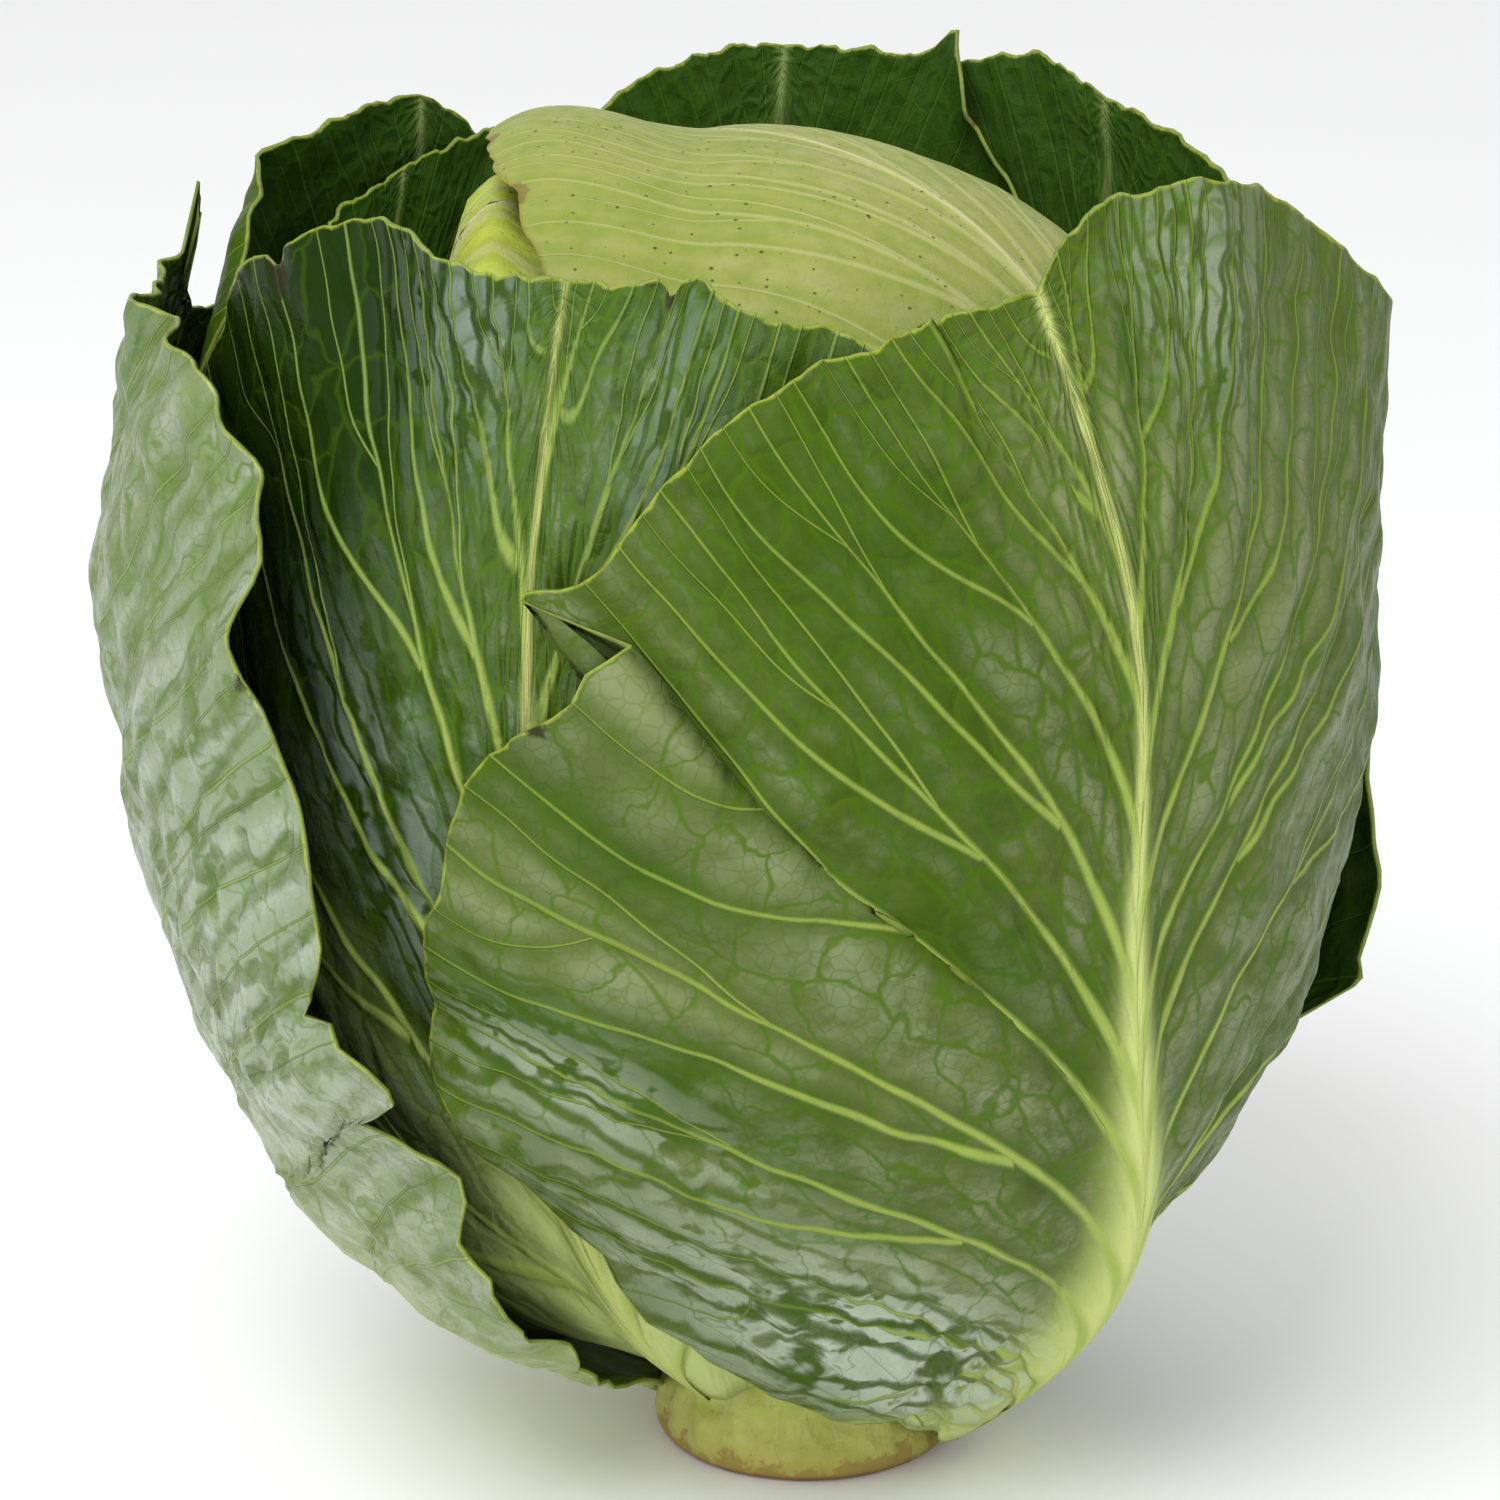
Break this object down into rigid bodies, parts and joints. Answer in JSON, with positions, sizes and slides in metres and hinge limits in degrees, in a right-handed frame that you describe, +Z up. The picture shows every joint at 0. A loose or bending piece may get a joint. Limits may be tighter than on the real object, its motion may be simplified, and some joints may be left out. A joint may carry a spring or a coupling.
{
  "type": "round head cabbage",
  "caption": "Round head cabbage with a tight pale heart, loose veined wrapper leaves and a cut stump that it stands on.",
  "frame": {"origin": "centre of the stump's flat cut face, on the head's axis", "axes": "+Z up the head's axis from the cut face, -Y towards the front, where the two broad overlapping leaves are, +X to the right of someone who looks at the front"},
  "size_m": [0.2597, 0.2481, 0.2801],
  "materials": {
    "outer_leaf": "satin",
    "heart_leaf": "satin",
    "cut_stump": "matte"
  },
  "bodies": {
    "root": {"stump": "cut_stump", "heart_core": "heart_leaf", "heart_leaf_back": "heart_leaf", "heart_leaf_left": "heart_leaf", "heart_leaf_cap": "heart_leaf", "leaf_front_right": "outer_leaf", "leaf_front_left": "outer_leaf", "leaf_left_outer": "outer_leaf", "leaf_back_left": "outer_leaf", "leaf_back_left_inner": "outer_leaf", "leaf_back_centre": "outer_leaf", "leaf_back_right": "outer_leaf", "leaf_right_outer": "outer_leaf"}
  },
  "joints": []
}
